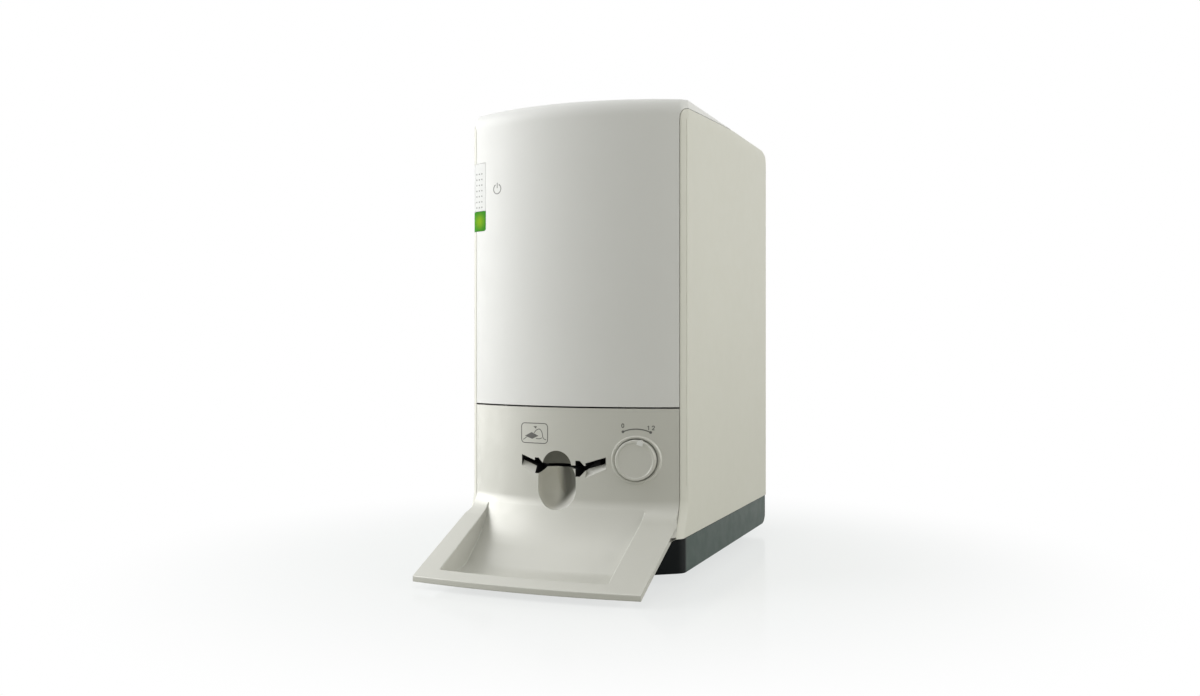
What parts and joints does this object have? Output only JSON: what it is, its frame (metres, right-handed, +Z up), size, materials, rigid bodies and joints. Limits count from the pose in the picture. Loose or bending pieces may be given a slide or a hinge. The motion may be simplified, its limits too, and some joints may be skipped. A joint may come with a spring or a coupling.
{
  "type": "phosphor plate scanner",
  "caption": "Table-top scanner for intraoral phosphor plates with a bowed tall case, a plate slot across a finger recess, a plate size dial and a catch tray.",
  "frame": {"origin": "middle of the bounding box's footprint, on the table", "axes": "+Z up, +X to the right seen from the front, the front and the catch tray face -Y"},
  "size_m": [0.138, 0.2764, 0.276],
  "materials": {
    "white_shell": "satin",
    "casing_shell": "fine texture",
    "silver_panel": "satin silver paint",
    "plinth_shell": "matte",
    "black_rubber": "matte",
    "black_plastic": "matte",
    "steel_sheet": "zinc plated",
    "steel_parts": "ground",
    "alloy_parts": "satin",
    "board_green": "solder mask",
    "light_window": "frosted",
    "green_lens": "gloss",
    "clear_optic": "polished",
    "mirror_glass": "coated",
    "felt_strip": "felt"
  },
  "bodies": {
    "case": {"front_hood": "white_shell", "lower_front_panel": "silver_panel", "left_side_panel": "casing_shell", "right_side_panel": "casing_shell", "rear_cover": "casing_shell", "base_tray": "plinth_shell", "foot_front_left": "black_rubber", "foot_rear_left": "black_rubber", "foot_front_right": "black_rubber", "foot_rear_right": "black_rubber", "status_window": "light_window", "status_lens": "green_lens", "status_board": "board_green", "dial_washer": "black_rubber", "guide_carrier": "black_plastic", "lower_guide_rail": "steel_parts", "upper_guide_rail": "steel_parts", "upper_light_seal": "felt_strip", "lower_light_seal": "felt_strip", "chassis_floor": "steel_sheet", "left_frame_plate": "steel_sheet", "right_frame_plate": "steel_sheet", "path_bed": "black_plastic", "drive_motor": "alloy_parts", "drive_belt": "black_rubber", "optics_deck": "alloy_parts", "polygon_motor": "board_green", "scan_lens": "clear_optic", "fold_mirror": "mirror_glass", "laser_module": "alloy_parts", "light_collector": "clear_optic", "photomultiplier": "alloy_parts", "eraser_lamp_bar": "board_green", "main_board": "board_green", "upper_shelf": "steel_sheet", "power_supply": "alloy_parts", "fan_frame": "black_plastic", "power_inlet": "black_plastic", "switch_body": "black_plastic", "network_socket": "alloy_parts", "rear_screw_left": "steel_parts", "rear_screw_right": "steel_parts"},
    "dial": {"selector_dial": "silver_panel", "dial_shaft": "steel_parts", "dial_pinion": "alloy_parts"},
    "left_guide": {"left_plate_guide": "black_plastic"},
    "right_guide": {"right_plate_guide": "black_plastic"},
    "front_roller": {"front_drive_shaft": "steel_parts", "front_drive_tyre": "black_rubber", "front_shaft_pulley": "black_plastic"},
    "rear_roller": {"rear_drive_shaft": "steel_parts", "rear_drive_tyre": "black_rubber", "rear_shaft_pulley": "black_plastic"},
    "front_pinch": {"front_pinch_roller": "black_plastic"},
    "rear_pinch": {"rear_pinch_roller": "black_plastic"},
    "motor": {"motor_shaft": "steel_parts", "motor_pulley": "black_plastic"},
    "polygon": {"polygon_mirror": "mirror_glass"},
    "fan": {"fan_rotor": "black_plastic"},
    "rocker": {"switch_rocker": "black_plastic"}
  },
  "joints": [
    {"name": "left_guide_slide", "type": "slide", "parent": "case", "child": "left_guide", "axis": [-1, 0, 0], "range_m": [-0.00323, 0.00083]},
    {"name": "right_guide_slide", "type": "slide", "parent": "case", "child": "right_guide", "axis": [1, 0, 0], "range_m": [-0.00325, 0.00085]},
    {"name": "selector_turn", "type": "hinge", "parent": "case", "child": "dial", "pos_m": [0.042, -0.07068, 0.0691], "axis": [-0.1564, 0.9877, 0], "range_deg": [-43.2, 11.2]},
    {"name": "front_roller_spin", "type": "hinge", "parent": "case", "child": "front_roller", "pos_m": [-0.003, -0.03775, 0.05705], "axis": [1, 0, 0], "continuous": true},
    {"name": "rear_roller_spin", "type": "hinge", "parent": "case", "child": "rear_roller", "pos_m": [-0.003, -0.00975, 0.05705], "axis": [1, 0, 0], "continuous": true},
    {"name": "front_pinch_spin", "type": "hinge", "parent": "case", "child": "front_pinch", "pos_m": [-0.003, -0.03775, 0.06835], "axis": [1, 0, 0], "continuous": true},
    {"name": "rear_pinch_spin", "type": "hinge", "parent": "case", "child": "rear_pinch", "pos_m": [-0.003, -0.00975, 0.06835], "axis": [1, 0, 0], "continuous": true},
    {"name": "motor_spin", "type": "hinge", "parent": "case", "child": "motor", "pos_m": [0.046, 0.03225, 0.0435], "axis": [1, 0, 0], "continuous": true},
    {"name": "polygon_spin", "type": "hinge", "parent": "case", "child": "polygon", "pos_m": [-0.003, 0.05025, 0.1436], "axis": [0, 0, 1], "continuous": true},
    {"name": "fan_spin", "type": "hinge", "parent": "case", "child": "fan", "pos_m": [-0.003, 0.13025, 0.226], "axis": [0, 1, 0], "continuous": true},
    {"name": "power_switch_rock", "type": "hinge", "parent": "case", "child": "rocker", "pos_m": [-0.008, 0.13445, 0.052], "axis": [1, 0, 0], "range_deg": [0, 14]}
  ],
  "couplings": [
    {"joint": "selector_turn", "follows": "left_guide_slide", "rad_per_m": 232.4},
    {"joint": "right_guide_slide", "follows": "left_guide_slide", "ratio": 1},
    {"joint": "rear_roller_spin", "follows": "front_roller_spin", "ratio": 1},
    {"joint": "front_pinch_spin", "follows": "front_roller_spin", "ratio": -1.75},
    {"joint": "rear_pinch_spin", "follows": "front_roller_spin", "ratio": -1.75},
    {"joint": "motor_spin", "follows": "front_roller_spin", "ratio": 1.6}
  ]
}
